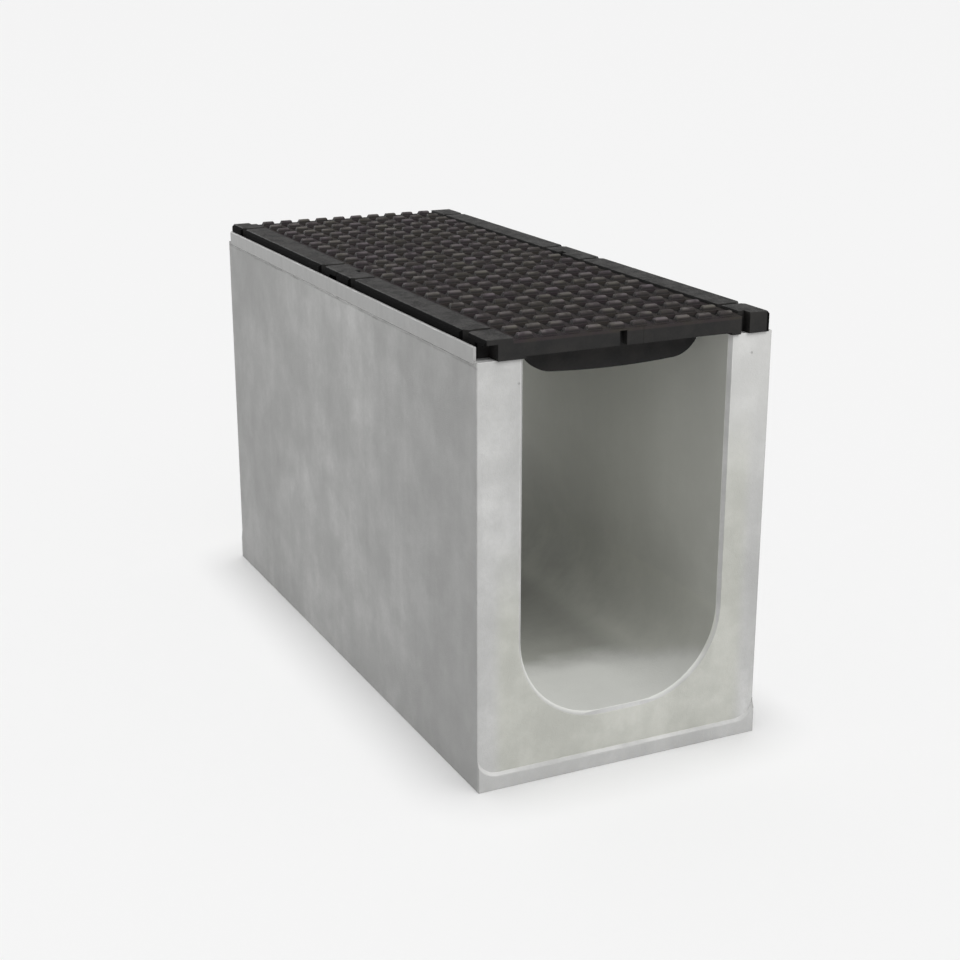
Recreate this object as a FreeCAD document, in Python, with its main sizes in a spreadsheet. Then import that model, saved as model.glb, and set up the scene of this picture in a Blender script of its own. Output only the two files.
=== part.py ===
"""Precast concrete channel drain: a U-shaped channel one metre long, a steel edge rail cast along the top of
each wall, and two half-metre cast-iron mesh grates that lie between the rails.

X runs across the channel, Y along it (the visible end is at -Y) and Z up.  The origin is the middle of the
footprint, on the ground.  All sizes are millimetres and live in the spreadsheet.
"""
import FreeCAD, Part
import os
import Sketcher

doc = FreeCAD.newDocument("channel_drain")
sizes = doc.addObject("Spreadsheet::Sheet", "sizes")

SIZES = (
    # concrete channel
    ("channel_length", 1000),
    ("channel_width", 430),
    ("seat_height", 578),
    ("inner_width", 300),
    ("floor_thickness", 80),
    ("invert_radius", 120),
    ("mouth_chamfer", 5),
    ("toe_depth", 5),
    ("toe_height", 23),
    ("toe_corner_height", 50),
    ("toe_corner_reach", 30),
    ("toe_corner_radius", 30),
    ("toe_ledge", 4),
    # edge rails
    ("rail_thickness", 4),
    ("rail_top", 596),
    ("rail_leg", 40),
    ("rail_setback", 14),
    ("anchor_depth", 45),
    ("anchor_length", 30),
    ("anchor_inset", 22),
    ("anchor_count", 5),
    ("anchor_pitch", 220),
    # grates
    ("grate_length", 498),
    ("grate_width", 414),
    ("grate_gap", 2),
    ("mesh_top", 602),
    ("border_top", 606),
    ("border_width", 39),
    ("border_chamfer", 4),
    ("cell_columns", 10),
    ("cell_rows", 12),
    ("column_pitch", 32.5),
    ("row_pitch", 39.2),
    ("cell_width", 20),
    ("cell_length", 27),
    ("rib_thickness", 10),
    ("rib_reach", 131),
    ("rib_depth", 36.5),
    ("rib_shoulder", 92),
    ("rib_shoulder_depth", 33),
    ("rib_end_radius", 45),
    ("stud_length", 22),
    ("stud_breadth", 11),
    ("stud_height", 6),
    ("stud_slope", 2.5),
    # openings in the grate's ends and borders
    ("slit_inset", 59),
    ("slit_width", 9),
    ("slit_depth", 14),
    ("slit_flare", 9),
    ("end_wall_lift", 3),
    ("end_wall_depth", 20),
    ("pocket_inner", 188),
    ("pocket_depth", 26),
    ("pocket_height", 21),
    ("notch_inner", 164),
    ("notch_outer", 177),
    ("notch_depth", 15),
    ("key_slot_left", 18),
    ("key_slot_right", 7.5),
    ("key_slot_depth", 13),
    ("key_slot_height", 22),
)

for row, (alias, value) in enumerate(SIZES, start=1):
    sizes.set("A%d" % row, alias)
    sizes.set("B%d" % row, str(value))
    sizes.setAlias("B%d" % row, alias)
doc.recompute()


def value_of(expression):
    """The number that an expression on the spreadsheet gives now."""
    return float(sizes.evalExpression(named(expression)))


def named(expression):
    """Put the sheet's name before each alias in an expression."""
    words = expression.replace("(", "( ").replace(")", " )").split()
    aliases = {alias for alias, _ in SIZES}
    return " ".join("sizes." + word if word in aliases else word for word in words)


def new_body(name, label):
    body = doc.addObject("PartDesign::Body", name)
    body.Label = label
    return body


def origin_plane(body, role):
    return [item for item in body.Origin.OriginFeatures if item.Role == role][0]


def new_sketch(body, name, plane, offset="0"):
    """A sketch on one of the body's own planes, moved along the plane's normal by an expression."""
    sketch = body.newObject("Sketcher::SketchObject", name)
    sketch.AttachmentSupport = [(origin_plane(body, plane), "")]
    sketch.MapMode = "FlatFace"
    if offset != "0":
        sketch.setExpression("AttachmentOffset.Base.z", named(offset))
    return sketch


def bind(sketch, kind, name, expression, *where):
    """Add a driving constraint whose value follows the spreadsheet."""
    index = sketch.addConstraint(Sketcher.Constraint(kind, *where, value_of(expression)))
    sketch.renameConstraint(index, name)
    sketch.setExpression("Constraints." + name, named(expression))


def draw_outline(sketch, corners, arcs=None, tag="p"):
    """Draw a closed outline through corners given as pairs of expressions.

    arcs maps the number of a corner to (radius expression, bulge side): the edge that leaves that corner is
    then an arc whose centre lies to the left (+1) or to the right (-1) of its chord.
    """
    arcs = arcs or {}
    points = [FreeCAD.Vector(value_of(x), value_of(y), 0) for x, y in corners]
    edges = []
    for number, start in enumerate(points):
        end = points[(number + 1) % len(points)]
        if number not in arcs:
            edges.append((sketch.addGeometry(Part.LineSegment(start, end), False), 1, 2))
            continue
        radius, side = arcs[number]
        chord = end - start
        middle = (start + end) * 0.5
        left = FreeCAD.Vector(-chord.y, chord.x, 0).normalize()
        height = (value_of(radius) ** 2 - chord.Length ** 2 / 4) ** 0.5
        centre = middle + left * (side * height)
        through = centre + (middle - centre).normalize() * value_of(radius)
        arc = sketch.addGeometry(Part.Arc(start, through, end), False)
        first, last = (1, 2) if side > 0 else (2, 1)
        edges.append((arc, first, last))
        bind(sketch, "Radius", "%s_radius_%d" % (tag, number), radius, arc)
    for number, (edge, _, last) in enumerate(edges):
        following, first, _ = edges[(number + 1) % len(edges)]
        sketch.addConstraint(Sketcher.Constraint("Coincident", edge, last, following, first))
    for number, (x, y) in enumerate(corners):
        edge, first, _ = edges[number]
        bind(sketch, "DistanceX", "%s_x_%d" % (tag, number), x, -1, 1, edge, first)
        bind(sketch, "DistanceY", "%s_y_%d" % (tag, number), y, -1, 1, edge, first)


def draw_rectangle(sketch, left, right, low, high, tag="r"):
    draw_outline(sketch, ((left, low), (right, low), (right, high), (left, high)), tag=tag)


def pad(body, name, sketch, length, midplane=False, reverse=False):
    feature = body.newObject("PartDesign::Pad", name)
    feature.Profile = sketch
    feature.setExpression("Length", named(length))
    feature.Midplane = midplane
    feature.Reversed = reverse
    return feature


def pocket(body, name, sketch, length=None, reverse=False):
    """Cut a sketch into the body: by a length, or right through both ways when none is given."""
    feature = body.newObject("PartDesign::Pocket", name)
    feature.Profile = sketch
    if length:
        feature.setExpression("Length", named(length))
        feature.Reversed = reverse
    else:
        feature.Type = 1
        feature.Midplane = True
    return feature


def repeat(body, name, original, sketch, axis, count, pitch):
    """Repeat a feature along one axis of its sketch at a pitch."""
    pattern = body.newObject("PartDesign::LinearPattern", name)
    pattern.Originals = [original]
    aim_pattern(pattern, sketch, axis, count, pitch)
    body.Tip = pattern
    return pattern


def aim_pattern(pattern, sketch, axis, count, pitch):
    pattern.Direction = (sketch, [axis])
    pattern.setExpression("Length", "( %s - 1 ) * %s" % (named(count), named(pitch)))
    pattern.setExpression("Occurrences", named(count))


def repeat_grid(body, name, original, sketch, columns, column_pitch, rows, row_pitch):
    """Repeat a feature over a grid: along the sketch's horizontal axis, then its vertical one."""
    grid = body.newObject("PartDesign::MultiTransform", name)
    across = body.newObject("PartDesign::LinearPattern", name + "_across")
    aim_pattern(across, sketch, "H_Axis", columns, column_pitch)
    along = body.newObject("PartDesign::LinearPattern", name + "_along")
    aim_pattern(along, sketch, "V_Axis", rows, row_pitch)
    grid.Originals = [original]
    grid.Transformations = [across, along]
    body.Tip = grid
    return grid


def mirror(body, name, originals, plane):
    feature = body.newObject("PartDesign::Mirrored", name)
    feature.Originals = originals
    feature.MirrorPlane = (origin_plane(body, plane), [""])
    body.Tip = feature
    return feature


def edges_where(shape, test):
    """Names of the edges whose two end points and middle all pass a test."""
    names = []
    for number, edge in enumerate(shape.Edges, start=1):
        middle = edge.valueAt((edge.FirstParameter + edge.LastParameter) / 2)
        if all(test(point) for point in [vertex.Point for vertex in edge.Vertexes] + [middle]):
            names.append("Edge%d" % number)
    return names


def chamfer(body, name, base, edge_names, size):
    feature = body.newObject("PartDesign::Chamfer", name)
    feature.Base = (base, edge_names)
    feature.setExpression("Size", named(size))
    return feature


# ---------------------------------------------------------------- concrete channel
channel = new_body("channel_body", "channel_body")

# U-shaped section: straight walls that run down into two large quarter-round corners and a short flat floor
profile = new_sketch(channel, "channel_profile", "XZ_Plane")
draw_outline(profile, (
    ("- channel_width / 2", "0"),
    ("channel_width / 2", "0"),
    ("channel_width / 2", "seat_height"),
    ("inner_width / 2", "seat_height"),
    ("inner_width / 2", "floor_thickness + invert_radius"),
    ("inner_width / 2 - invert_radius", "floor_thickness"),
    ("invert_radius - inner_width / 2", "floor_thickness"),
    ("- inner_width / 2", "floor_thickness + invert_radius"),
    ("- inner_width / 2", "seat_height"),
    ("- channel_width / 2", "seat_height"),
), arcs={4: ("invert_radius", -1), 6: ("invert_radius", -1)})
trough = pad(channel, "trough", profile, "channel_length - 2 * toe_depth", midplane=True)

# a rebate along the outer top edge of each wall takes the edge rail's flat leg
rebates = new_sketch(channel, "rail_rebates", "XZ_Plane", "channel_length / 2 - rail_setback")
for side, sign in (("left", "-"), ("right", "")):
    outer = sign + " channel_width / 2"
    inner = "%s ( channel_width / 2 - rail_leg )" % sign
    low, high = (outer, inner) if sign else (inner, outer)
    draw_rectangle(rebates, low, high, "seat_height - rail_thickness", "seat_height", tag=side)
rebate_cut = pocket(channel, "rail_rebate", rebates, "channel_length - 2 * rail_setback")
doc.recompute()

# slots in the rebates, one for each anchor that is cast in with its rail
anchor_holes = new_sketch(channel, "anchor_holes", "XY_Plane", "seat_height - rail_thickness")
FIRST_ANCHOR = "( 1 - anchor_count ) / 2 * anchor_pitch"
for side, sign in (("left", "-"), ("right", "")):
    near = "%s ( channel_width / 2 - anchor_inset )" % sign
    far = "%s ( channel_width / 2 - anchor_inset - rail_thickness )" % sign
    left, right = (near, far) if sign else (far, near)
    draw_rectangle(anchor_holes, left, right, FIRST_ANCHOR + " - anchor_length / 2",
                   FIRST_ANCHOR + " + anchor_length / 2", tag=side)
anchor_cut = pocket(channel, "anchor_hole", anchor_holes, "anchor_depth")
doc.recompute()
repeat(channel, "anchor_hole_row", anchor_cut, anchor_holes, "V_Axis", "anchor_count", "anchor_pitch")
doc.recompute()

# the toe: a band along the foot of each end face, swept up at both corners
toe_sketch = new_sketch(channel, "toe_profile", "XZ_Plane", "channel_length / 2")
draw_outline(toe_sketch, (
    ("- channel_width / 2", "0"),
    ("channel_width / 2", "0"),
    ("channel_width / 2", "toe_corner_height"),
    ("channel_width / 2 - toe_corner_reach", "toe_height"),
    ("toe_corner_reach - channel_width / 2", "toe_height"),
    ("- channel_width / 2", "toe_corner_height"),
), arcs={2: ("toe_corner_radius", -1), 4: ("toe_corner_radius", -1)})
toe = pad(channel, "toe", toe_sketch, "toe_depth", reverse=True)
doc.recompute()
mirror(channel, "toe_at_far_end", [toe], "XZ_Plane")
doc.recompute()

# a sloped ledge on top of each toe
half_length = value_of("channel_length / 2")
half_width = value_of("channel_width / 2")
toe_height = value_of("toe_height")
ledge_edges = edges_where(channel.Tip.Shape, lambda point: (
    abs(abs(point.y) - half_length) < 0.01 and point.z > toe_height - 0.01))
chamfer(channel, "toe_ledge", channel.Tip, ledge_edges, "toe_ledge")
doc.recompute()

# the mouth of the U is eased at both ends
face_y = value_of("channel_length / 2 - toe_depth")
half_inner = value_of("inner_width / 2")
floor_level = value_of("floor_thickness")
mouth_edges = edges_where(channel.Tip.Shape, lambda point: (
    abs(abs(point.y) - face_y) < 0.01 and abs(point.x) < half_inner + 0.01 and point.z > floor_level - 0.01))
chamfer(channel, "mouth_easing", channel.Tip, mouth_edges, "mouth_chamfer")
doc.recompute()


# ---------------------------------------------------------------- edge rails
def build_rail(name, sign):
    """A steel angle: a flat leg let into the wall's top and a lip that stands up beside the grates."""
    rail = new_body(name, name)
    outer = "%s channel_width / 2" % sign
    lip_inner = "%s ( channel_width / 2 - rail_thickness )" % sign
    leg_end = "%s ( channel_width / 2 - rail_leg )" % sign
    section = new_sketch(rail, name + "_section", "XZ_Plane")
    draw_outline(section, (
        (outer, "seat_height - rail_thickness"),
        (outer, "rail_top"),
        (lip_inner, "rail_top"),
        (lip_inner, "seat_height"),
        (leg_end, "seat_height"),
        (leg_end, "seat_height - rail_thickness"),
    ))
    pad(rail, name + "_angle", section, "channel_length - 2 * rail_setback", midplane=True)
    doc.recompute()
    anchor = new_sketch(rail, name + "_anchor", "XY_Plane", "seat_height - rail_thickness")
    near = "%s ( channel_width / 2 - anchor_inset )" % sign
    far = "%s ( channel_width / 2 - anchor_inset - rail_thickness )" % sign
    left, right = (near, far) if sign else (far, near)
    draw_rectangle(anchor, left, right, FIRST_ANCHOR + " - anchor_length / 2",
                   FIRST_ANCHOR + " + anchor_length / 2")
    lug = pad(rail, name + "_lug", anchor, "anchor_depth", reverse=True)
    doc.recompute()
    repeat(rail, name + "_lugs", lug, anchor, "V_Axis", "anchor_count", "anchor_pitch")
    doc.recompute()
    return rail


# ---------------------------------------------------------------- cast-iron grates
FIRST_COLUMN = "( 1 - cell_columns ) / 2 * column_pitch"
FIRST_CELL = "( 1 - cell_rows ) / 2 * row_pitch"
BORDER_INNER = "grate_width / 2 - border_width"


def build_grate(name, centre):
    """One casting: mesh plate, bellied cross ribs, raised borders, studs, and ends that lock together."""
    grate = new_body(name, name)

    plate = new_sketch(grate, name + "_plate_outline", "XY_Plane", "seat_height")
    draw_rectangle(plate, "- grate_width / 2", "grate_width / 2", "- grate_length / 2", "grate_length / 2")
    pad(grate, name + "_plate", plate, "mesh_top - seat_height")
    doc.recompute()

    borders = new_sketch(grate, name + "_border_outlines", "XY_Plane", "mesh_top")
    draw_rectangle(borders, BORDER_INNER, "grate_width / 2",
                   "- grate_length / 2", "grate_length / 2", tag="right")
    draw_rectangle(borders, "- grate_width / 2", "border_width - grate_width / 2",
                   "- grate_length / 2", "grate_length / 2", tag="left")
    pad(grate, name + "_borders", borders, "border_top - mesh_top")
    doc.recompute()
    side, top = value_of("grate_width / 2"), value_of("border_top")
    outer_edges = edges_where(grate.Tip.Shape, lambda point: (
        abs(abs(point.x) - side) < 0.01 and abs(point.z - top) < 0.01))
    chamfer(grate, name + "_border_easing", grate.Tip, outer_edges, "border_chamfer")
    doc.recompute()

    # narrow slits across the borders near each end, flared at the outer edge
    slits = new_sketch(grate, name + "_slit_outlines", "XY_Plane", "border_top")
    for across in ("-", ""):
        for along in ("-", ""):
            middle = "%s ( grate_length / 2 - slit_inset )" % along
            edge = "%s ( grate_width / 2 + 1 )" % across
            throat = "%s ( grate_width / 2 - slit_flare )" % across
            inner = "%s ( %s )" % (across, BORDER_INNER)
            outline = [
                (inner, middle + " - slit_width / 2"),
                (throat, middle + " - slit_width / 2"),
                (edge, middle + " - slit_width / 2 - slit_flare"),
                (edge, middle + " + slit_width / 2 + slit_flare"),
                (throat, middle + " + slit_width / 2"),
                (inner, middle + " + slit_width / 2"),
            ]
            tag = "slit_%s_%s" % ("left" if across else "right", "near" if along else "far")
            draw_outline(slits, outline, tag=tag)
    pocket(grate, name + "_slits", slits, "slit_depth")
    doc.recompute()

    # the near end: a pocket below one corner, a notch beside the other, a key slot, and a lifted lower edge
    end = "- grate_length / 2"
    cuts = (
        ("corner_pocket", "- grate_width / 2 - 1", "- pocket_inner", "pocket_depth", "pocket_height"),
        ("notch", "notch_inner", "notch_outer", "notch_depth", "border_top - seat_height + 1"),
        ("key_slot", "- key_slot_left", "- key_slot_right", "key_slot_depth", "key_slot_height"),
        ("end_lift", "- inner_width / 2", "inner_width / 2", "end_wall_depth", "end_wall_lift"),
    )
    features = []
    for tag, left, right, depth, height in cuts:
        shape = new_sketch(grate, "%s_%s_outline" % (name, tag), "XY_Plane", "seat_height")
        draw_rectangle(shape, left, right, end + " - 1", "%s + %s" % (end, depth))
        features.append(pocket(grate, "%s_%s" % (name, tag), shape, height, reverse=True))
        doc.recompute()

    # the far end is the same, turned half round, so one grate's block keys into the next one's pocket
    turned = grate.newObject("PartDesign::PolarPattern", name + "_far_end")
    turned.Originals = features
    turned.Axis = (plate, ["N_Axis"])
    turned.Angle = 360
    turned.Occurrences = 2
    grate.Tip = turned
    doc.recompute()

    # deep cross ribs under every second bar, with a fish belly between the channel's walls
    belly = new_sketch(grate, name + "_rib_profile", "XZ_Plane", "( cell_rows / 2 - 1 ) * row_pitch")
    draw_outline(belly, (
        ("rib_reach", "seat_height"),
        ("- rib_reach", "seat_height"),
        ("- rib_shoulder", "seat_height - rib_shoulder_depth"),
        ("rib_shoulder", "seat_height - rib_shoulder_depth"),
    ), arcs={
        1: ("rib_end_radius", 1),
        2: ("( rib_shoulder ^ 2 + ( rib_depth - rib_shoulder_depth ) ^ 2 ) "
            "/ ( 2 * ( rib_depth - rib_shoulder_depth ) )", 1),
        3: ("rib_end_radius", 1),
    })
    rib = pad(grate, name + "_rib", belly, "rib_thickness", midplane=True)
    doc.recompute()
    repeat(grate, name + "_ribs", rib, plate, "V_Axis", "cell_rows / 2", "2 * row_pitch")
    doc.recompute()

    # the cells of the mesh
    cell = new_sketch(grate, name + "_cell_outline", "XY_Plane", "mesh_top")
    draw_rectangle(cell, FIRST_COLUMN + " - cell_width / 2", FIRST_COLUMN + " + cell_width / 2",
                   FIRST_CELL + " - cell_length / 2", FIRST_CELL + " + cell_length / 2")
    hole = pocket(grate, name + "_cell", cell)
    doc.recompute()
    repeat_grid(grate, name + "_mesh", hole, plate, "cell_columns", "column_pitch", "cell_rows", "row_pitch")
    doc.recompute()

    # a stud on each bar, in line with the cells: a low pyramid with its top cut off
    stud = grate.newObject("PartDesign::AdditiveWedge", name + "_stud")
    stud.AttachmentSupport = [(origin_plane(grate, "XZ_Plane"), "")]
    stud.MapMode = "FlatFace"
    faces = (
        ("Xmin", FIRST_COLUMN + " - stud_length / 2"),
        ("Xmax", FIRST_COLUMN + " + stud_length / 2"),
        ("X2min", FIRST_COLUMN + " - stud_length / 2 + stud_slope"),
        ("X2max", FIRST_COLUMN + " + stud_length / 2 - stud_slope"),
        ("Ymin", "mesh_top"),
        ("Ymax", "mesh_top + stud_height"),
        ("Zmin", "cell_rows / 2 * row_pitch - stud_breadth / 2"),
        ("Zmax", "cell_rows / 2 * row_pitch + stud_breadth / 2"),
        ("Z2min", "cell_rows / 2 * row_pitch - stud_breadth / 2 + stud_slope"),
        ("Z2max", "cell_rows / 2 * row_pitch + stud_breadth / 2 - stud_slope"),
    )
    for side, expression in faces:
        setattr(stud, side, value_of(expression))
        stud.setExpression(side, named(expression))
    doc.recompute()
    repeat_grid(grate, name + "_studs", stud, plate, "cell_columns", "column_pitch",
                "cell_rows + 1", "row_pitch")
    doc.recompute()

    grate.setExpression("Placement.Base.y", named(centre))
    doc.recompute()
    return grate


def repeat_grate(name, first, centre):
    """A second grate from the same pattern: the first one's casting in a place of its own."""
    grate = new_body(name, name)
    grate.BaseFeature = first
    grate.setExpression("Placement.Base.y", named(centre))
    doc.recompute()
    return grate


front = build_grate("grate_front", "- ( grate_length + grate_gap ) / 2")
parts = [
    channel,
    build_rail("left_edge_rail", "-"),
    build_rail("right_edge_rail", ""),
    front,
    repeat_grate("grate_rear", front, "( grate_length + grate_gap ) / 2"),
]

doc.recompute()
for item in doc.Objects:
    if "Invalid" in item.State or "Error" in item.State:
        raise RuntimeError("%s failed: %s" % (item.Name, item.State))
os.makedirs("parts", exist_ok=True)
for body in parts:
    solid = body.Shape
    if solid.isNull() or not solid.isValid() or len(solid.Solids) != 1:
        raise RuntimeError("%s is not one valid solid" % body.Label)
    print("%-18s %10.0f mm3  %s" % (body.Label, solid.Volume, solid.BoundBox))
    solid.exportStep("parts/%s.step" % body.Label)
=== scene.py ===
# %% [markdown]
# A channel drain
#
# A precast concrete channel carries rain water away under a road. A steel angle is cast along the top of
# each wall, and two cast-iron mesh grates lie between the angles and close the top.
# The solids of the part are already modelled and packed. Modelling them again here would give a second set
# of sizes to keep right, so this lesson loads the solids as a fixed frame. It then rounds the edges that
# are rounded on the real things, and gives concrete, steel and iron their finishes.
# X runs across the channel, Y along it and Z up. All lengths are in metres.

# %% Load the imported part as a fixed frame
import bpy
import bmesh
import math
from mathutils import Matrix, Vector


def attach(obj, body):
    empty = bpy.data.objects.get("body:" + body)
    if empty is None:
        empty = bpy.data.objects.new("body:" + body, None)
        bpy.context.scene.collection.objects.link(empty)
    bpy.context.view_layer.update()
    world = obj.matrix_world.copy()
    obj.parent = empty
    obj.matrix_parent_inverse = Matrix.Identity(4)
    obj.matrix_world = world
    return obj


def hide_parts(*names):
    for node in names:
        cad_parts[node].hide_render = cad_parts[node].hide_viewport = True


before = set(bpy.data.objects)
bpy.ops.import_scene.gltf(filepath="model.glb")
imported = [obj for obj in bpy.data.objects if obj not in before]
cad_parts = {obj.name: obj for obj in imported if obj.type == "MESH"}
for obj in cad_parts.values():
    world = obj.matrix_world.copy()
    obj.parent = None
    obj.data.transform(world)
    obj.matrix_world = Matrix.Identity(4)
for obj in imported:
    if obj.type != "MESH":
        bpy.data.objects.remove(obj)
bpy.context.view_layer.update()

# %% [markdown]
# Whole flats
#
# The solids arrive as many small triangles, also where the real thing has one flat surface. The triangles
# could stay and only their edges be sorted by angle, but a bevel runs cleaner along whole faces. So points
# that lie on each other are joined, and all the triangles of a flat are merged into one face.

# %% Merge the triangles of a solid into whole flats
SAME_POINT = 1e-5
FLAT_ANGLE = math.radians(1)


def whole_flats(node):
    """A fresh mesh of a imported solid, with one face for each flat."""
    mesh = bmesh.new()
    mesh.from_mesh(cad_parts[node].data)
    bmesh.ops.remove_doubles(mesh, verts=mesh.verts, dist=SAME_POINT)
    bmesh.ops.dissolve_limit(mesh, angle_limit=FLAT_ANGLE, verts=mesh.verts, edges=mesh.edges)
    return mesh


trial = whole_flats("channel_body")
print("the channel has", len(trial.faces), "whole faces")
trial.free()

# %% [markdown]
# Rounded edges
#
# The solids have sharp edges, which is right for their sizes. No real edge is sharp: concrete comes out of
# its steel mould with small rounded arrises, and iron poured into sand can't hold a corner at all. Those
# narrow rounds catch the light, and without them a render looks like cardboard.
# A bevel in the shader would be lost in an exported model, so the rounds are real geometry here. Every edge
# sharper than a given angle is bevelled, and the new narrow faces are marked in an attribute, so that a
# finish can be more worn there, and the concrete can carry a painted highlight there.

# %% Bevel the sharp edges and mark the rounds
ROUND_MARK = "edge_round"
QUARTER_CIRCLE = 0.5


def round_sharp_edges(mesh, radius, steps, sharp_degrees):
    """Bevel the edges sharper than an angle, mark the new faces, and count those edges."""
    worn_and_highlighted = mesh.faces.layers.float.new(ROUND_MARK)
    sharp = [edge for edge in mesh.edges if edge.is_manifold
             and edge.calc_face_angle() > math.radians(sharp_degrees)]
    made = bmesh.ops.bevel(mesh, geom=sharp, offset=radius, offset_type="OFFSET", segments=steps,
                           profile=QUARTER_CIRCLE, affect="EDGES", clamp_overlap=True)
    for face in made["faces"]:
        face[worn_and_highlighted] = 1.0
    for face in mesh.faces:
        face.smooth = True
    return len(sharp)


print("rounds will be marked in the attribute", ROUND_MARK)

# %% [markdown]
# A piece in the solid's place
#
# Each piece shows in place of one imported solid, which is hidden, and rides on the root body, so nothing is
# drawn twice and nothing stays behind. Smooth shading alone would make the large flats look swollen next to
# their rounds.
# The normals could be split by hand, but a weighted normal does it by itself, because the largest face at
# each corner decides.

# %% Make a rounded piece that replaces a solid
def rounded_copy(node, piece_name, radius, steps, sharp_degrees):
    """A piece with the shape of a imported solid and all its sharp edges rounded."""
    mesh = whole_flats(node)
    rounded = round_sharp_edges(mesh, radius, steps, sharp_degrees)
    data = bpy.data.meshes.new(piece_name)
    mesh.to_mesh(data)
    mesh.free()
    piece = bpy.data.objects.new(piece_name, data)
    bpy.context.collection.objects.link(piece)
    weighted = piece.modifiers.new("flat faces stay flat", "WEIGHTED_NORMAL")
    weighted.keep_sharp = True
    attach(piece, "root")
    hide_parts(node)
    triangles = sum(len(face.vertices) - 2 for face in data.polygons)
    print("%s: %d sharp edges rounded at %.1f mm, %d triangles"
          % (piece_name, rounded, radius * 1000, triangles))
    return piece


# %% [markdown]
# One radius for each way of making
#
# Concrete pressed in a steel mould keeps an arris of about 2 mm, folded steel one of about 1 mm, and
# sand-cast iron a little more than that. One radius for everything would be quicker, but the eye reads the
# material from its edges. The angle above which an edge counts as sharp lies below the 45 degrees of the
# chamfers and above the small steps of the round bottom, so that the bottom stays smooth.

# %% Round the concrete, the steel angles and the iron castings
concrete_channel = rounded_copy("channel_body", "concrete_channel",
                                radius=0.0022, steps=3, sharp_degrees=25)
steel_angles = [rounded_copy(side + "_edge_rail", side + "_steel_angle",
                             radius=0.0012, steps=2, sharp_degrees=30)
                for side in ("left", "right")]
mesh_grates = [rounded_copy("grate_" + place, "mesh_grate_" + place,
                            radius=0.0014, steps=3, sharp_degrees=30)
               for place in ("front", "rear")]

# %% [markdown]
# Shared effects
#
# Some effects come back in more than one finish: broad patches where a surface is a little lighter or
# darker, a fine grain that breaks up the shine, streaks where water has run down, wear and painted
# highlights on the rounded edges, and a soft band that picks out one stretch of the object. They could be
# built again in every material, but then a better grain would have to be mended three times. So each is
# built once as a node group with its own inputs, and each finish uses it with its own values. A group only
# puts out a number that changes over the surface.

# %% Start an effect and feed its sockets
def new_effect(name, inputs, output):
    """A node group with named number inputs and one output; gives the group and its two end nodes."""
    group = bpy.data.node_groups.new(name, "ShaderNodeTree")
    for socket_name, value in inputs:
        socket = group.interface.new_socket(socket_name, in_out="INPUT", socket_type="NodeSocketFloat")
        socket.default_value = value
    group.interface.new_socket(output, in_out="OUTPUT", socket_type="NodeSocketFloat")
    return group, group.nodes.new("NodeGroupInput"), group.nodes.new("NodeGroupOutput")


def feed(tree, socket, value):
    """Give a socket its value: a number, a colour, or another node's output to follow."""
    if isinstance(value, bpy.types.NodeSocket):
        tree.links.new(value, socket)
    elif isinstance(value, tuple):
        socket.default_value = (*value, 1) if len(socket.default_value) == 4 else value
    else:
        socket.default_value = value


print("node groups before the first effect:", len(bpy.data.node_groups))

# %% [markdown]
# Position on the object
#
# A stain has to stay on its own spot from every side, also in an exported model. Unwrapping would do that,
# but it puts seams between faces that run on into each other on the real thing. The position on the object
# needs no unwrapping. It is read in metres, so a noise of scale 20 has patches about 5 cm across.

# %% Position on the object and its three axes
def place_on_object(tree, stretch=(1, 1, 1)):
    """Position on the object in metres, stretched along its axes."""
    place = tree.nodes.new("ShaderNodeTexCoord")
    mapping = tree.nodes.new("ShaderNodeMapping")
    feed(tree, mapping.inputs["Scale"], stretch)
    feed(tree, mapping.inputs["Vector"], place.outputs["Object"])
    return mapping.outputs["Vector"]


def axes(tree):
    """X, Y and Z of the position on the object, as three outputs."""
    split = tree.nodes.new("ShaderNodeSeparateXYZ")
    feed(tree, split.inputs["Vector"], place_on_object(tree))
    return split.outputs["X"], split.outputs["Y"], split.outputs["Z"]


# %% [markdown]
# Noise, remap and arithmetic
#
# Three kinds of node do nearly all the work: a noise, a remap that stretches one part of a value to another
# range, and plain arithmetic. A colour ramp could remap as well, but its stops are harder to read in a
# script than four numbers. The remap is smooth at both ends, because a stain has no hard edge.

# %% Noise, remap and arithmetic in one line each
def noise(tree, scale, detail=4, roughness=0.5, stretch=(1, 1, 1)):
    """A soft random value over the object, mostly between 0.3 and 0.7."""
    texture = tree.nodes.new("ShaderNodeTexNoise")
    feed(tree, texture.inputs["Vector"], place_on_object(tree, stretch))
    feed(tree, texture.inputs["Scale"], scale)
    feed(tree, texture.inputs["Detail"], detail)
    feed(tree, texture.inputs["Roughness"], roughness)
    return texture.outputs["Fac"]


def remap(tree, value, low, high, start=0.0, end=1.0):
    """Stretch the part of a value between low and high smoothly to start..end, and clamp it there."""
    node = tree.nodes.new("ShaderNodeMapRange")
    node.interpolation_type = "SMOOTHSTEP"
    feed(tree, node.inputs["Value"], value)
    feed(tree, node.inputs["From Min"], low)
    feed(tree, node.inputs["From Max"], high)
    feed(tree, node.inputs["To Min"], start)
    feed(tree, node.inputs["To Max"], end)
    return node.outputs["Result"]


def calculate(tree, operation, first, second=0.0):
    """One step of arithmetic with one or two values."""
    node = tree.nodes.new("ShaderNodeMath")
    node.operation = operation
    feed(tree, node.inputs[0], first)
    feed(tree, node.inputs[1], second)
    return node.outputs["Value"]


print("helpers ready: noise, remap, calculate")

# %% [markdown]
# Patches, grain and streaks
#
# Cement skins over in clouds, sand leaves grit in concrete and iron alike, and rain leaves runs. All three
# are the same noise, read in different ways. Patches use it in coarse form with its middle stretched, so
# that there are clear light and dark areas. Grain uses it very fine and raw. Streaks use it drawn out along
# the height, so that each blotch becomes a long thin run.

# %% Patches, grain and streaks as node groups
DRAWN_OUT = (1, 1, 0.07)

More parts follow.
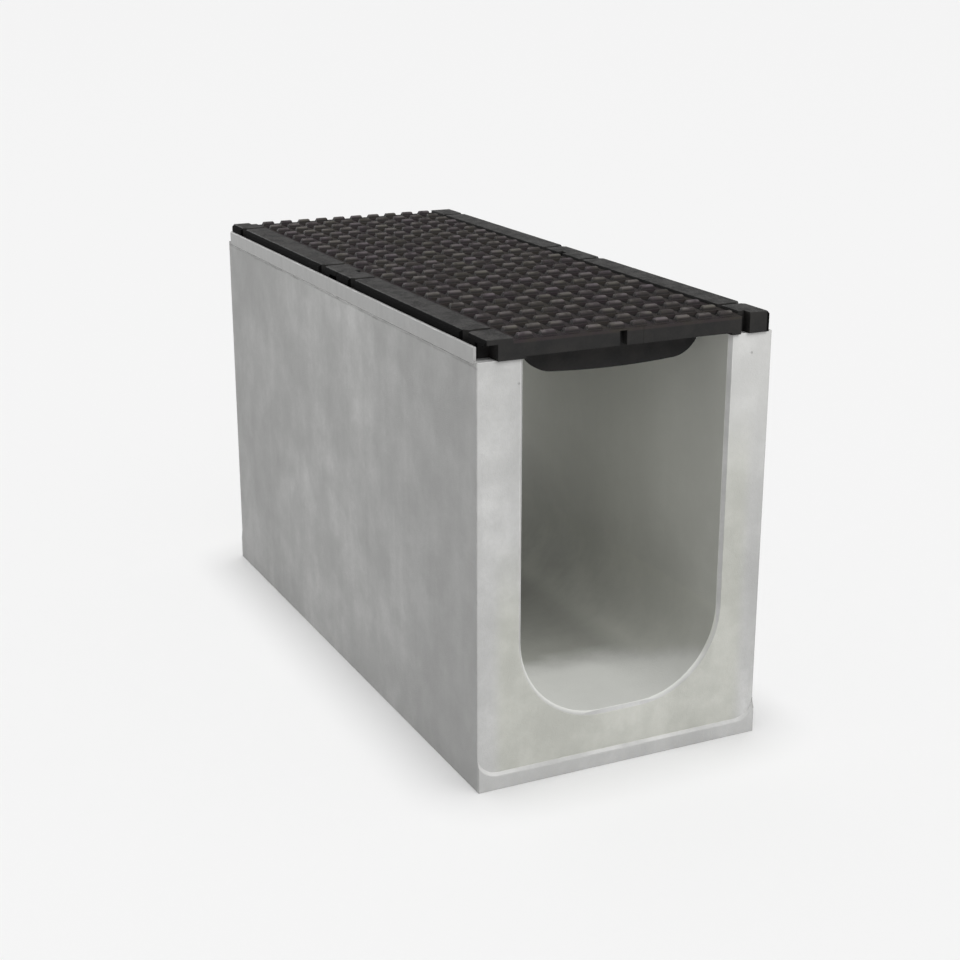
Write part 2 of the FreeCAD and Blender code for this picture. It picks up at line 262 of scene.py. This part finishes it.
patches, given, result = new_effect("broad patches", (("Scale", 8.0),), "Patch")
cloudy = noise(patches, given.outputs["Scale"], detail=5, roughness=0.6)
feed(patches, result.inputs["Patch"], remap(patches, cloudy, low=0.32, high=0.68))

grain, given, result = new_effect("fine grain", (("Scale", 400.0),), "Grain")
gritty = noise(grain, given.outputs["Scale"], detail=3, roughness=0.65)
feed(grain, result.inputs["Grain"], gritty)

streaks, given, result = new_effect("run-down streaks", (("Scale", 60.0),), "Streak")
long_runs = noise(streaks, given.outputs["Scale"], detail=4, roughness=0.6, stretch=DRAWN_OUT)
feed(streaks, result.inputs["Streak"], remap(streaks, long_runs, low=0.4, high=0.75))
print("effects so far:", [group.name for group in (patches, grain, streaks)])

# %% [markdown]
# Worn and highlighted edges
#
# Knocks and boots reach the edges first. The shader could find edges by comparing normals, but the export
# can't follow that. The mask is the attribute that the bevel left on its faces, broken up by noise so that
# the wear comes and goes along an edge. The concrete also uses this mask for a painted highlight on its
# arrises.

# %% Worn and highlighted edges as a node group
edge_wear_and_highlight, given, result = new_effect("worn edges", (("Scale", 90.0),), "Wear")
rounds = edge_wear_and_highlight.nodes.new("ShaderNodeAttribute")
rounds.attribute_name = ROUND_MARK
comes_and_goes = remap(edge_wear_and_highlight, noise(edge_wear_and_highlight, given.outputs["Scale"]), low=0.25, high=0.6)
# Wear on the rounds; on the concrete the same mask also places a painted highlight.
wear = calculate(edge_wear_and_highlight, "MULTIPLY", rounds.outputs["Fac"], comes_and_goes)
feed(edge_wear_and_highlight, result.inputs["Wear"], wear)
print("wear is read from the attribute", rounds.attribute_name)

# %% [markdown]
# Soft bands
#
# Painted shade, painted light and rubbing keep to certain places: a painted shadow under the steel,
# rubbing and a painted highlight on top of the studs, a painted pool of light at the mouth. A soft band is 1
# between two positions and fades to 0 beyond them. It could be a texture painted as a mask, but a band made
# of two smooth steps needs no unwrapping and stays sharp at any size. Left alone, both its ends lie beyond
# every piece, so a band with one end given is open on the other side.

# %% A soft band as a node group
BEYOND = 1.0

soft_band, given, result = new_effect(
    "soft band", (("Position", 0.0), ("Low", -BEYOND), ("High", BEYOND), ("Blur", 0.001)), "Band")
where, low_end, high_end, blur = (given.outputs[name] for name in ("Position", "Low", "High", "Blur"))
above = remap(soft_band, where, low=calculate(soft_band, "SUBTRACT", low_end, blur),
              high=calculate(soft_band, "ADD", low_end, blur))
below = remap(soft_band, where, low=calculate(soft_band, "SUBTRACT", high_end, blur),
              high=calculate(soft_band, "ADD", high_end, blur), start=1.0, end=0.0)
feed(soft_band, result.inputs["Band"], calculate(soft_band, "MULTIPLY", above, below))
print("all the effects:", [group.name for group in (patches, grain, streaks, edge_wear_and_highlight, soft_band)])

# %% [markdown]
# Colours and layers
#
# A real surface is layers: a base, then stains, then wear on top. One mixed colour could be tuned for ever,
# while layers can each be judged alone. So each finish below is built by laying one stain at a time over
# what is there so far, always with a mask. Colours are given as the greys a person would read off a screen,
# because those are easier to judge than linear values.

# %% A screen grey, one colour laid over another, and masks that overlap
def grey(value, warmth=0.0, rust=0.0):
    """A screen grey from 0 to 255 as a linear colour; warmth takes blue from it, and rust adds red."""
    def linear(channel):
        channel /= 255
        return channel / 12.92 if channel <= 0.04045 else ((channel + 0.055) / 1.055) ** 2.4
    return linear(value + rust), linear(value), linear(value - warmth)


def tint(tree, mask, first, second):
    """Go from one colour to another where the mask is 1."""
    node = tree.nodes.new("ShaderNodeMix")
    node.data_type = "RGBA"
    for socket, value in ((node.inputs[0], mask), (node.inputs[6], first), (node.inputs[7], second)):
        feed(tree, socket, value)
    return node.outputs[2]


def overlap(tree, *masks, share=1.0):
    """A mask that is 1 only where all the masks are, weakened to a share of its strength."""
    shared = masks[0]
    if share < 1.0:
        masks = (*masks, share)
    for mask in masks[1:]:
        shared = calculate(tree, "MULTIPLY", shared, mask)
    return shared


print("screen grey 164 as a linear colour:", [round(channel, 3) for channel in grey(164, 1)])

# %% [markdown]
# A finish and its effects
#
# Every finish starts as a material with one Principled shader, which holds what light does at the surface.
# The effects only tell it where. An effect is placed by its group and gets its own values. A band is placed
# so often that it has a helper of its own.

# %% Start a finish and place effects in it
def new_finish(name):
    """A material with its Principled shader; gives the material, its node tree and the shader."""
    finish = bpy.data.materials.new(name)
    finish.use_nodes = True
    return finish, finish.node_tree, finish.node_tree.nodes["Principled BSDF"]


def effect(tree, group, **values):
    """Place a shared effect in a finish with values of its own."""
    node = tree.nodes.new("ShaderNodeGroup")
    node.node_tree = group
    for socket, value in values.items():
        feed(tree, node.inputs[socket], value)
    return node.outputs[0]


def band(tree, position, low=-BEYOND, high=BEYOND, blur=0.001):
    """The soft band between two positions."""
    return effect(tree, soft_band, Position=position, Low=low, High=high, Blur=blur)


print("materials before the first finish:", len(bpy.data.materials))

# %% [markdown]
# Concrete
#
# The channel is a dense dry-cast concrete pressed against a steel mould: plain light grey with faint clouds
# and a few streaks, some sand showing as specks, and along the arrises a paler skin of cement that also
# serves as a painted highlight. A scanned texture would show its seams on a piece this size, so the skin is
# mixed here, from the broadest clouds to the finest specks. Each is a small step of its own. The pale
# arrises, skin and painted highlight together, are strongest high up.

# %% The skin of the concrete: clouds, streaks, and pale arrises with a painted highlight
DARK_CLOUD, PALE_CLOUD = grey(164, 1), grey(188, 1)
BLOTCH, RUN, SAND, ARRIS_SKIN_AND_HIGHLIGHT = grey(158, 1), grey(150, 1), grey(150, 3), grey(212, 2)

concrete, tree, shader = new_finish("dry_cast_concrete")
across, along, height = axes(tree)
blotches = effect(tree, patches, Scale=17.0)
runs = effect(tree, streaks, Scale=45.0)
specks = effect(tree, patches, Scale=160.0)
skin = tint(tree, effect(tree, patches, Scale=6.0), DARK_CLOUD, PALE_CLOUD)
for mask, share, colour in ((blotches, 0.5, BLOTCH), (runs, 0.24, RUN), (specks, 0.16, SAND)):
    skin = tint(tree, overlap(tree, mask, share=share), skin, colour)
paler_high_up = remap(tree, height, low=0.10, high=0.30, start=0.15, end=0.55)
# Paler cement skin and a painted highlight on the rounded arrises, stronger high up.
skin = tint(tree, overlap(tree, effect(tree, edge_wear_and_highlight, Scale=70.0), paler_high_up), skin, ARRIS_SKIN_AND_HIGHLIGHT)
print("skin of the concrete:", len(tree.nodes), "nodes so far")

# %% [markdown]
# Inside: painted shade, and a painted pool of light on the bottom
#
# Inside the channel the walls get a painted shade with a faint damp green. Only the first stretch of the
# bottom at the near mouth is painted pale, as a painted pool of light that reaches in through the mouth. Its
# edge is ragged, and draws back as it climbs the rounded right side. A vertex colour could hold this, but
# the long walls have no points in the middle. So both are bands of position, and one coarse noise moves the
# edge to and fro. The same noise roughens other marks further on.

# %% Masks for the inside, its painted shade and its painted pool of light
INNER_SIDE, BOTTOM, END_FACE = 0.15, 0.08, 0.495
HAIR = 0.0002
MOUTH_ROUND = 0.0025
LIT_BOTTOM_TO = -0.305
RAGGEDNESS = 0.06
DRAW_BACK = 3.0

ragged = noise(tree, scale=14.0, detail=5, roughness=0.6)
out_to_end = calculate(tree, "ABSOLUTE", along)
inside = overlap(tree, band(tree, across, low=-INNER_SIDE - HAIR, high=INNER_SIDE + HAIR, blur=2 * HAIR),
                 band(tree, height, low=BOTTOM - 0.0005, blur=2 * HAIR),
                 band(tree, out_to_end, high=END_FACE - MOUTH_ROUND, blur=0.003))
on_right_side = remap(tree, across, low=-0.02, high=0.02, start=0.0, end=DRAW_BACK)
drawn_back = overlap(tree, calculate(tree, "SUBTRACT", height, BOTTOM), on_right_side)
ragged_along = calculate(tree, "ADD", along, overlap(tree, ragged, share=RAGGEDNESS))
painted_lit = band(tree, calculate(tree, "ADD", ragged_along, drawn_back), high=LIT_BOTTOM_TO, blur=0.045)
shaded_film = overlap(tree, inside, calculate(tree, "SUBTRACT", 1.0, painted_lit))
print("the bottom is washed for about %.2f m from the near end" % (END_FACE + LIT_BOTTOM_TO - RAGGEDNESS / 2))

# %% [markdown]
# The shaded damp film
#
# The film is a painted shade with a faint damp green. It is darkest low down and fades towards the top.
# Towards the near mouth the upper walls are a little darker and the lower walls paler, and the flat of the
# bottom is darker. The film could be one flat dark colour, but then the inside would look like a painted
# box. Its greys are a little green, as algae are.

# %% The painted shade of the damp film, darker and paler towards the mouth
SHADED_DAMP_DARK, SHADED_DAMP_PALE, LESS_SHADED_HIGH = grey(149, 7, -1), grey(169, 8, -1), grey(222, 8, -1)
UPPER_NEAR_MOUTH_GREY, LOWER_NEAR_MOUTH_GREY, BOTTOM_FLAT_GREY, LIT_BOTTOM = grey(160, 8, -1), grey(204, 8, -1), grey(112, 7, -1), grey(209, 5, -1)

darker_upper_near_mouth = overlap(tree, remap(tree, along, low=-0.47, high=-0.32, start=0.35, end=0.0),
                remap(tree, height, low=0.2, high=0.35))
paler_lower_near_mouth = overlap(tree, remap(tree, along, low=-0.36, high=-0.08, start=0.4, end=0.0),
               remap(tree, height, low=0.15, high=0.28, start=1.0, end=0.0))
darker_bottom_flat = remap(tree, height, low=0.083, high=0.105, start=0.55, end=0.0)
shaded_damp = tint(tree, effect(tree, patches, Scale=9.0), SHADED_DAMP_DARK, SHADED_DAMP_PALE)
shaded_damp = tint(tree, remap(tree, height, low=0.09, high=0.42), shaded_damp, LESS_SHADED_HIGH)
for mask, colour in ((darker_upper_near_mouth, UPPER_NEAR_MOUTH_GREY), (paler_lower_near_mouth, LOWER_NEAR_MOUTH_GREY), (darker_bottom_flat, BOTTOM_FLAT_GREY)):
    shaded_damp = tint(tree, mask, shaded_damp, colour)
# The inside gets a painted shade with a faint damp green; the near stretch of the bottom gets a painted pool
# of light.
skin = tint(tree, overlap(tree, shaded_film, share=0.92), skin, shaded_damp)
skin = tint(tree, overlap(tree, inside, painted_lit, share=0.85), skin, LIT_BOTTOM)
print("with the damp film:", len(tree.nodes), "nodes so far")

# %% [markdown]
# The painted shadow line
#
# Under each steel angle, where the steel meets the concrete, a thin painted shadow line lies on the
# concrete. A dark strip of geometry would look drawn with a ruler. A narrow band follows the lower edge of
# the angle, a fine noise makes it waver by a few millimetres, and the coarse noise fades it in and out.

# %% The painted shadow line under the steel angles
OUTER_SIDE, STEEL_FOOT = 0.215, 0.574
SKIN_DEPTH = 0.0015
LINE_BELOW, LINE_ABOVE = 0.0005, 0.0025
WAVER = 0.006
UNDER_STEEL_SHADOW = grey(96, 4)

on_long_side = calculate(tree, "GREATER_THAN", calculate(tree, "ABSOLUTE", across), OUTER_SIDE - SKIN_DEPTH)
wavy = calculate(tree, "ADD", height, overlap(tree, noise(tree, scale=35.0), share=WAVER))
at_steel_foot = band(tree, wavy, low=STEEL_FOOT - LINE_BELOW, high=STEEL_FOOT + LINE_ABOVE, blur=0.0012)
patchy_shadow_line = remap(tree, ragged, low=0.35, high=0.65, start=0.1, end=0.6)
# A thin painted shadow on the concrete under each steel angle.
skin = tint(tree, overlap(tree, at_steel_foot, on_long_side, patchy_shadow_line), skin, UNDER_STEEL_SHADOW)
print("with the painted_shadow line:", len(tree.nodes), "nodes so far")

# %% [markdown]
# Ledge and toe
#
# Each end has a toe that stands out by a few millimetres, with a ledge above it. The ledge faces up and
# gets a painted highlight, and the toe gets a painted shade. Both lie further out than the end face, so the
# distance from the middle picks them out.
# A second material would do it too, but it would cut the skin of the concrete in two.

# %% The painted highlight on the ledge and the painted shade on the toe
TOE_FACE = 0.5
LEDGE_END, TOE_START = TOE_FACE - 0.0006, TOE_FACE - 0.0004
LEDGE_HIGHLIGHT, TOE_SHADE = grey(216, 2), grey(158, 1)

on_ledge = band(tree, out_to_end, low=END_FACE + HAIR, high=LEDGE_END, blur=HAIR)
ledge_highlight = overlap(tree, on_ledge, remap(tree, ragged, low=0.35, high=0.6, start=0.1, end=0.4))
# A painted highlight on the upward-facing ledge.
skin = tint(tree, ledge_highlight, skin, LEDGE_HIGHLIGHT)
on_toe = band(tree, out_to_end, low=TOE_START, blur=HAIR)
toe_shade = overlap(tree, on_toe, remap(tree, ragged, low=0.3, high=0.6, start=0.4, end=1.0), share=0.4)
# A painted shade on the toe.
skin = tint(tree, toe_shade, skin, TOE_SHADE)
print("with ledge and toe:", len(tree.nodes), "nodes so far")

# %% [markdown]
# Damp low on the end faces
#
# The end face draws water up from the ground, which gives it a faint green cast. The cast climbs higher
# beside the mouth on the right, and leaves a clean margin along the outer arrises, where concrete dries
# first. A single gradient would look as if the end had been dipped in paint, so the ragged noise and the
# distance across move the level of the damp.

# %% The green cast low on the end faces
DARK_GREEN, PALE_GREEN = grey(162, 12, -1), grey(176, 12, -1)
LEFT_MARGIN, RIGHT_MARGIN = -0.186, 0.188
FACE_DEPTH = 0.0005
LEVEL_RAGGEDNESS, LEVEL_CLIMB = 0.08, 0.16

on_end_face = band(tree, out_to_end, low=END_FACE - FACE_DEPTH, high=END_FACE + FACE_DEPTH, blur=0.0003)
ragged_height = calculate(tree, "ADD", height, overlap(tree, ragged, share=LEVEL_RAGGEDNESS))
climbs_to_right = remap(tree, across, low=0.0, high=INNER_SIDE, start=0.0, end=LEVEL_CLIMB)
damp_level = calculate(tree, "SUBTRACT", ragged_height, climbs_to_right)
green = overlap(tree, on_end_face, band(tree, across, low=LEFT_MARGIN, high=RIGHT_MARGIN, blur=0.012),
                remap(tree, damp_level, low=0.26, high=0.40, start=0.5, end=0.0))
skin = tint(tree, green, skin, tint(tree, blotches, PALE_GREEN, DARK_GREEN))
print("with the green cast:", len(tree.nodes), "nodes so far")

# %% [markdown]
# Darker ends of the long sides
#
# The long sides are painted a little darker towards both ends. Separate smudges could be drawn, but the
# darkening is wide and weak, so two gradients are enough.

# %% The darker ends of the long sides
DARKENED_END_GREY = grey(146, 1)

near_half = remap(tree, along, low=-0.34, high=-0.08, start=0.5, end=0.0)
far_half = remap(tree, along, low=0.05, high=0.38, start=0.0, end=0.4)
darkened = overlap(tree, calculate(tree, "MAXIMUM", near_half, far_half), on_long_side)
# The long sides are darker towards both ends.
skin = tint(tree, darkened, skin, DARKENED_END_GREY)
print("with the handled sides:", len(tree.nodes), "nodes so far")

# %% [markdown]
# The paler upper part of the end faces
#
# Higher up, the end face is a paler grey, most of all on the right.
# Making the whole skin paler would lighten the long sides too, so this layer keeps to the end faces.

# %% The paler upper part of the end faces
PALER_UPPER_GREY = grey(212, 3)

more_to_right = remap(tree, across, low=-0.2, high=0.2, start=0.06, end=0.34)
paler_upper = overlap(tree, remap(tree, height, low=0.25, high=0.55), on_end_face, more_to_right)
# Paler higher up on the end faces, more so towards the right.
skin = tint(tree, paler_upper, skin, PALER_UPPER_GREY)
print("with the lightened end faces:", len(tree.nodes), "nodes so far")

# %% [markdown]
# Air holes
#
# Small air bubbles stay behind in pressed concrete. Modelled holes would need far too many faces. The cells
# of a Voronoi texture make round holes instead, and a coarse noise lets only a few of them through, because
# on dense concrete they are rare. Each hole gets a painted shade that makes it a little darker, and the next
# step sinks it.

# %% A few round air holes with a painted shade
HOLE_SHADE = grey(120, 3)

cells = tree.nodes.new("ShaderNodeTexVoronoi")
cells.feature = "F1"
feed(tree, cells.inputs["Vector"], place_on_object(tree))
feed(tree, cells.inputs["Scale"], 38.0)
round_holes = remap(tree, cells.outputs["Distance"], low=0.04, high=0.085, start=1.0, end=0.0)
only_a_few = remap(tree, noise(tree, scale=31.0, detail=2), low=0.63, high=0.68)
air_holes = overlap(tree, round_holes, only_a_few)
# A painted shade darkens each hole.
skin = tint(tree, overlap(tree, air_holes, share=0.3), skin, HOLE_SHADE)
feed(tree, shader.inputs["Base Color"], skin)
print("with air holes:", len(tree.nodes), "nodes so far")

# %% [markdown]
# The touch of concrete
#
# Concrete is nearly matt, a little less so where it is dense. Three bumps lie on top of each other: the
# slow unevenness of the mould, the grit of the sand, and the holes. Displaced geometry would be heavier and
# hardly look different, because all three are only about a millimetre deep or less.

# %% Gloss, unevenness, grit and sunk holes of the concrete
def relief(tree, shader, raised, depth, under=None):
    """A bump of a given depth in metres, on top of another one if that is given."""
    bump = tree.nodes.new("ShaderNodeBump")
    feed(tree, bump.inputs["Distance"], depth)
    feed(tree, bump.inputs["Height"], raised)
    if under:
        feed(tree, bump.inputs["Normal"], under)
    feed(tree, shader.inputs["Normal"], bump.outputs["Normal"])
    return bump.outputs["Normal"]


feed(tree, shader.inputs["Roughness"], remap(tree, blotches, low=0.0, high=1.0, start=0.82, end=0.94))
uneven = relief(tree, shader, noise(tree, scale=18.0, detail=3), depth=0.0012)
sandy = relief(tree, shader, effect(tree, grain, Scale=520.0), depth=0.0005, under=uneven)
relief(tree, shader, calculate(tree, "SUBTRACT", 1.0, air_holes), depth=0.0008, under=sandy)
concrete_channel.data.materials.append(concrete)
print("concrete finish:", len(tree.nodes), "nodes")

# %% [markdown]
# Galvanised steel
#
# The angles are hot-dip galvanised, and their zinc has gone dull and pale out of doors, nearly the grey of
# the concrete. Fresh zinc mirrors its surroundings and would be plain metal. Weathered zinc is mostly a
# matt salt of zinc, so the metal share is low and changes with the cloudy bloom. Rubbed edges are brighter.

# %% The zinc finish
DARK_ZINC, PALE_ZINC, RUN_ZINC, BRIGHT_ZINC = grey(150, 1), grey(162, 1), grey(136, 2), grey(206, 1)

zinc, tree, shader = new_finish("weathered_zinc")
bloom = effect(tree, patches, Scale=22.0)
coat = tint(tree, bloom, DARK_ZINC, PALE_ZINC)
coat = tint(tree, overlap(tree, effect(tree, streaks, Scale=70.0), share=0.3), coat, RUN_ZINC)
coat = tint(tree, overlap(tree, effect(tree, edge_wear_and_highlight, Scale=60.0), share=0.35), coat, BRIGHT_ZINC)
feed(tree, shader.inputs["Base Color"], coat)
feed(tree, shader.inputs["Metallic"], remap(tree, bloom, low=0.0, high=1.0, start=0.35, end=0.15))
feed(tree, shader.inputs["Roughness"], remap(tree, bloom, low=0.0, high=1.0, start=0.5, end=0.66))
relief(tree, shader, effect(tree, grain, Scale=700.0), depth=0.00012)
for angle in steel_angles:
    angle.data.materials.append(zinc)
print("zinc finish on", [angle.name for angle in steel_angles])

# %% [markdown]
# Cast iron
#
# The grates are cast in sand and dipped in black paint. The skin is rough like the sand it was poured in,
# matt, nearly black, and faintly brown where the paint is thin. The open mesh is browner on top than the
# borders and blocks around it, and a painted shade darkens the foot of each stud.
# The studs could have a material of their own, but they are one casting with the bars. So height on the
# object picks them out instead.

# %% The paint of the iron, and the top of the mesh
MESH_EDGE, BAR_TOP = 0.168, 0.602
TOP_DEPTH = 0.0035
FOOT_FROM, FOOT_TO = BAR_TOP + 0.0008, BAR_TOP + 0.0026
THICK_PAINT, THIN_PAINT = grey(35), grey(42, 1, 1)
COOL_MESH, WARM_MESH, STUD_FOOT_SHADE = grey(42, -3, 6), grey(48, 4, 3), grey(30, 0, 1)

iron, tree, shader = new_finish("painted_cast_iron")
across, along, height = axes(tree)
from_middle = calculate(tree, "ABSOLUTE", across)
thin_paint = effect(tree, patches, Scale=26.0)
in_mesh = band(tree, from_middle, high=MESH_EDGE - 0.001, blur=0.001)
mesh_top = overlap(tree, in_mesh, band(tree, height, low=BAR_TOP - TOP_DEPTH, blur=0.001))
at_stud_foot = band(tree, height, low=FOOT_FROM, high=FOOT_TO, blur=0.0006)
paint = tint(tree, thin_paint, THICK_PAINT, THIN_PAINT)
paint = tint(tree, mesh_top, paint, tint(tree, thin_paint, COOL_MESH, WARM_MESH))
# A painted shade on the lower flanks, at the foot of each stud.
paint = tint(tree, overlap(tree, in_mesh, at_stud_foot, share=0.8), paint, STUD_FOOT_SHADE)
print("paint and mesh tops:", len(tree.nodes), "nodes so far")

# %% [markdown]
# Rubbed and highlighted studs, rubbed borders and edges
#
# Feet and wheels have rubbed the studs to a lighter brown-grey, and the flat borders to a dark grey. On
# the studs the lighter brown-grey is also a painted highlight. Feet and wheels never take the paint off
# evenly. A plain lighter top would look like a second colour of paint, so each rubbed part is broken up by a
# noise of its own. The rounded edges are only a little lighter.

# %% Rubbed studs with a painted highlight, rubbed borders and edges
STUD_TOP, BORDER_TOP = 0.608, 0.606
STUD_RUB, BORDER_RUB = 0.0016, 0.0008
COOL_STUD, WARM_STUD = grey(94, -4, 7), grey(98, 6, 3)
RUBBED_BORDER, RUBBED_EDGE = grey(68, 1, 1), grey(80, 5)

stud_tops = overlap(tree, in_mesh, band(tree, height, low=STUD_TOP - STUD_RUB, blur=0.0014))
uneven_rub = remap(tree, noise(tree, scale=45.0, detail=3), low=0.36, high=0.62, start=0.2, end=1.0)
bare_iron_and_highlight = tint(tree, thin_paint, COOL_STUD, WARM_STUD)
# Rubbed bare iron and a painted highlight on the stud tops.
paint = tint(tree, overlap(tree, stud_tops, uneven_rub, share=0.9), paint, bare_iron_and_highlight)
border_tops = overlap(tree, calculate(tree, "SUBTRACT", 1.0, in_mesh),
                      band(tree, height, low=BORDER_TOP - BORDER_RUB, blur=0.0005))
mottled = remap(tree, noise(tree, scale=60.0, detail=3), low=0.36, high=0.62, start=0.2, end=0.9)
paint = tint(tree, overlap(tree, border_tops, mottled), paint, RUBBED_BORDER)
paint = tint(tree, overlap(tree, effect(tree, edge_wear_and_highlight, Scale=80.0), share=0.3), paint, RUBBED_EDGE)
print("with wear:", len(tree.nodes), "nodes so far")

# %% [markdown]
# Shaded gap and pattern seam
#
# The side of the grate in the narrow gap between iron and steel gets a painted shade, nearly black. On the
# end wall a thin dark seam shows where the two halves of the casting pattern met. The seam could be a groove
# in the mesh, but it is barely felt on the real casting, so a dark line is nearer to the truth.

# %% The painted shade in the gap beside the steel and the seam on the end wall
GRATE_SIDE, GRATE_END = 0.207, 0.499
GAP_REACH, GAP_TOP = 0.0036, BORDER_TOP - 0.0006
WALL_DEPTH = 0.0025
SEAM_LEFT, SEAM_RIGHT = 0.0160, 0.0170
GAP_SHADE, SEAM_DIRT = grey(6), grey(8)

gap = overlap(tree, band(tree, from_middle, low=GRATE_SIDE - GAP_REACH, blur=0.0004),
              band(tree, height, high=GAP_TOP, blur=0.0006))
# A painted shade, nearly black, on the side of the grate in the gap.
paint = tint(tree, gap, paint, GAP_SHADE)
on_end_wall = band(tree, calculate(tree, "ABSOLUTE", along), low=GRATE_END - WALL_DEPTH, blur=0.0003)
seam = overlap(tree, band(tree, across, low=SEAM_LEFT, high=SEAM_RIGHT, blur=0.0004), on_end_wall, share=0.5)
paint = tint(tree, seam, paint, SEAM_DIRT)
feed(tree, shader.inputs["Base Color"], paint)
print("with the gap and the seam:", len(tree.nodes), "nodes so far")

# %% [markdown]
# The touch of the iron
#
# The grit of the sand mould shows twice: as a fine bump, and as small changes of gloss. Two noises could
# make them, but then the shine wouldn't follow the grit, so the same grain feeds both. The flat borders are
# walked smooth and a little less rough, and the painted shade in the gap doesn't shine at all.

# %% Gloss and grit of the iron
sand_skin = effect(tree, grain, Scale=420.0)
dull = remap(tree, sand_skin, low=0.3, high=0.7, start=0.52, end=0.72)
walked_smooth = calculate(tree, "SUBTRACT", dull, overlap(tree, border_tops, share=0.12))
feed(tree, shader.inputs["Roughness"], calculate(tree, "MAXIMUM", walked_smooth, gap))
feed(tree, shader.inputs["Specular IOR Level"], 0.1)
relief(tree, shader, sand_skin, depth=0.0005)
for grate in mesh_grates:
    grate.data.materials.append(iron)
print("iron finish:", len(tree.nodes), "nodes")

# %% [markdown]
# Floor
#
# The part stands on a plain, nearly white floor in a bright studio. A curved backdrop would do as well, but
# a single large face is enough where sky and floor are equally pale. Its finish is one flat matt colour,
# because nothing on it should draw the eye.

# %% A pale floor
HALF_FLOOR = 60
FLOOR_WHITE = 0.9

floor_mesh = bmesh.new()
corners = [floor_mesh.verts.new((x * HALF_FLOOR, y * HALF_FLOOR, 0))
           for x, y in ((-1, -1), (1, -1), (1, 1), (-1, 1))]
floor_mesh.faces.new(corners)
floor_data = bpy.data.meshes.new("studio_floor")
floor_mesh.to_mesh(floor_data)
floor_mesh.free()
floor = bpy.data.objects.new("studio_floor", floor_data)
bpy.context.collection.objects.link(floor)
pale, tree, shader = new_finish("pale_floor")
feed(tree, shader.inputs["Base Color"], (FLOOR_WHITE, FLOOR_WHITE, FLOOR_WHITE))
feed(tree, shader.inputs["Roughness"], 0.95)
feed(tree, shader.inputs["Specular IOR Level"], 0.1)
floor_data.materials.append(pale)
print("the floor is", 2 * HALF_FLOOR, "metres wide")

# %% [markdown]
# Sky
#
# An even sky lights every side. A picture of a real sky would bring its own colours and a sun of its own,
# which a pale studio doesn't have. The sky is nearly white at the horizon, so that a low view shows no grey
# bar behind the floor, and dimmer above it. The plain view transform keeps white surfaces white, where the
# usual one would turn them grey.

# %% An even sky with a pale horizon
SKY, HORIZON = 0.36, 0.9
HORIZON_FROM, HORIZON_TO = 0.05, 0.10

world = bpy.data.worlds.new("studio")
world.use_nodes = True
tree = world.node_tree
sky = tree.nodes["Background"]
sky.inputs["Color"].default_value = (1, 1, 1, 1)
upwards = tree.nodes.new("ShaderNodeSeparateXYZ")
feed(tree, upwards.inputs[0], tree.nodes.new("ShaderNodeTexCoord").outputs["Generated"])
feed(tree, sky.inputs["Strength"],
     remap(tree, upwards.outputs["Z"], low=HORIZON_FROM, high=HORIZON_TO, start=HORIZON, end=SKY))
bpy.context.scene.world = world
bpy.context.scene.view_settings.view_transform = "Standard"
print("sky strength", SKY, "and", HORIZON, "at the horizon")

# %% [markdown]
# Suns
#
# One very wide sun from the right and in front makes the end of the channel brighter than its long side
# and leaves the inside in shade. A low one behind shines through the far mouth and lifts the inside to a
# middle grey. A third lights the floor from above. Lamps would leave a bright spot, while suns light
# everything evenly. Each one lights only what it is meant for, as studio flags would do, so that the part
# throws no heavy shadow on the floor.

# %% Three wide suns
def wide_sun(name, strength, spread, direction, lit):
    """A sun with soft shadows that lights only what is listed; direction points from the object to it."""
    sun = bpy.data.lights.new(name, "SUN")
    sun.energy = strength
    sun.angle = math.radians(spread)
    stand = bpy.data.objects.new(name, sun)
    stand.rotation_euler = Vector(direction).to_track_quat("Z", "Y").to_euler()
    bpy.context.collection.objects.link(stand)
    group = bpy.data.collections.new(name + "_lights")
    for thing in lit:
        group.objects.link(thing)
    stand.light_linking.receiver_collection = group
    print("%s of strength %.2f lights %d objects" % (name, strength, len(lit)))


part = [concrete_channel, *steel_angles, *mesh_grates]
wide_sun("front_sun", strength=2.55, spread=45, direction=(0.35, -1.0, 0.95), lit=part)
wide_sun("far_sun", strength=1.6, spread=40, direction=(-0.42, 1.0, 0.16), lit=part)
wide_sun("floor_sun", strength=2.08, spread=20, direction=(0.0, 0.0, 1.0), lit=[floor])

# %% [markdown]
# The camera
#
# The camera stands in front, to the left and a little above, so that the end, the long side and the grates
# all show. Its place is worked out from two angles and a distance around a point in the middle of the part,
# which is easier to change than coordinates. A fairly long lens keeps the verticals nearly upright.

# %% The camera
AZIMUTH, ELEVATION = math.radians(-25.5975), math.radians(17.6118)
DISTANCE = 2.62793
AIM = Vector((0.02662, 0.0, 0.25533))
FOCAL_LENGTH, SENSOR_WIDTH = 62.26, 36

back = Vector((math.sin(AZIMUTH) * math.cos(ELEVATION), -math.cos(AZIMUTH) * math.cos(ELEVATION),
               math.sin(ELEVATION)))
lens = bpy.data.cameras.new("camera")
lens.lens = FOCAL_LENGTH
lens.sensor_width = SENSOR_WIDTH
camera = bpy.data.objects.new("camera", lens)
camera.location = AIM + back * DISTANCE
camera.rotation_euler = back.to_track_quat("Z", "Y").to_euler()
bpy.context.collection.objects.link(camera)
bpy.context.scene.camera = camera
print("camera at", [round(value, 2) for value in camera.location])
